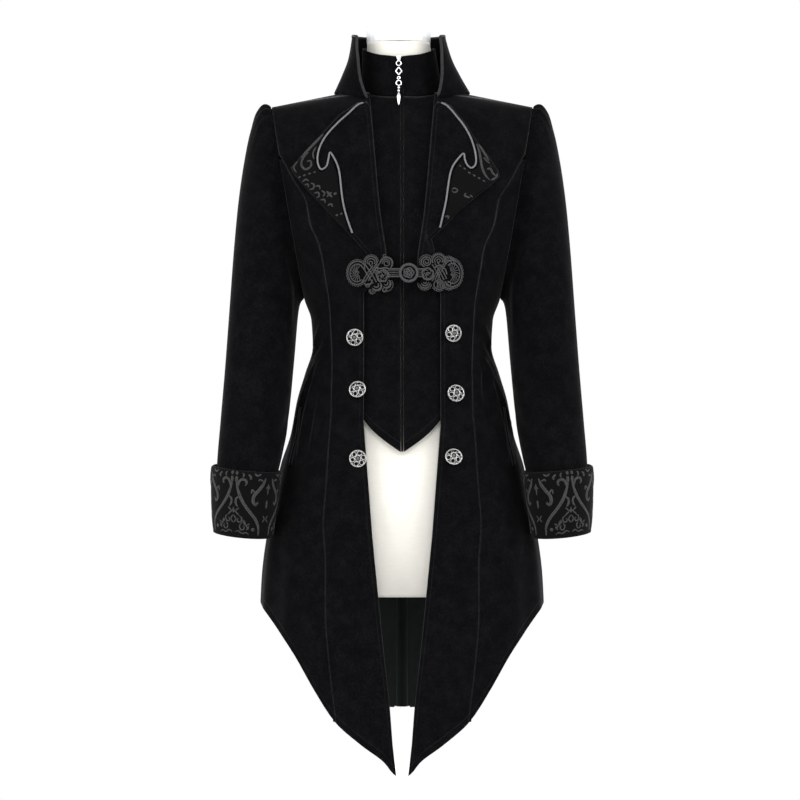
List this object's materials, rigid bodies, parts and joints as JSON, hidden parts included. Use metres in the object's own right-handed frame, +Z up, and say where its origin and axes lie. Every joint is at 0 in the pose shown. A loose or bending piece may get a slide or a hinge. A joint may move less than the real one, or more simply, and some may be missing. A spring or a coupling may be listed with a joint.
{
  "type": "gothic velvet tailcoat on a limbless dress form with a stand",
  "caption": "Fitted velvet tailcoat with a flared standing collar, piped damask lapels, a corded frog, a false waistcoat with a zip, damask cuffs and pointed tails, on a dress form",
  "frame": {"origin": "on the floor, under the middle of the round base", "axes": "+Z up; the coat faces -Y; +X is the viewer's right when facing the coat's front"},
  "size_m": [0.535, 0.36, 1.32],
  "materials": {
    "velvet": "black cotton velvet, deep pile with a soft sheen at grazing angles",
    "damask": "black brocade with a raised charcoal damask of curls and leaves",
    "satin": "dark grey-green satin, used for the piping and the lining",
    "cording": "charcoal twisted cord, couched in rounds",
    "zip_tape": "black woven tape with small metal teeth",
    "old_silver": "antique silver plate, dark in the hollows",
    "linen": "off-white linen, tightly stretched, matt",
    "cap_paint": "light grey moulded plastic, half gloss",
    "black_steel": "dark powder coat",
    "white_steel": "white powder coat"
  },
  "bodies": {
    "coat_and_form": {"back_left": "velvet", "back_right": "velvet", "side_back_left": "velvet", "side_back_right": "velvet", "side_front_left": "velvet", "side_front_right": "velvet", "front_left": "velvet", "front_right": "velvet", "sleeve_left": "velvet", "sleeve_right": "velvet", "cuff_left": "damask", "cuff_right": "damask", "lapel_left": "velvet", "lapel_right": "velvet", "lapel_damask_left": "damask", "lapel_damask_right": "damask", "piping_left": "satin", "piping_right": "satin", "waistcoat_left": "velvet", "waistcoat_right": "velvet", "frog_left": "cording", "frog_right": "cording", "pocket_welt_left": "velvet", "pocket_welt_right": "velvet", "collar_outer": "velvet", "stand_collar": "velvet", "zip_tape": "zip_tape", "zip_slider": "old_silver", "frog_ring": "cording", "frog_knot": "cording", "button_left_top": "old_silver", "button_left_middle": "old_silver", "button_left_bottom": "old_silver", "button_right_top": "old_silver", "button_right_middle": "old_silver", "button_right_bottom": "old_silver", "form_torso": "linen", "form_cap": "cap_paint", "pole_upper": "black_steel", "pole_lower": "white_steel", "base": "white_steel"},
    "zip_pull": {"zip_pull_ring": "old_silver", "zip_pull_diamond": "old_silver", "zip_pull_small_link": "old_silver", "zip_pull_round_link": "old_silver", "zip_pull_bead_1": "old_silver", "zip_pull_bead_2": "old_silver", "zip_pull_drop": "old_silver"}
  },
  "joints": [
    {"name": "zip_pull_hinge", "type": "hinge", "parent": "coat_and_form", "child": "zip_pull", "pos_m": [-0.00425, -0.05674, 1.2685], "axis": [-1, 0, 0], "range_deg": [0, 115]}
  ]
}
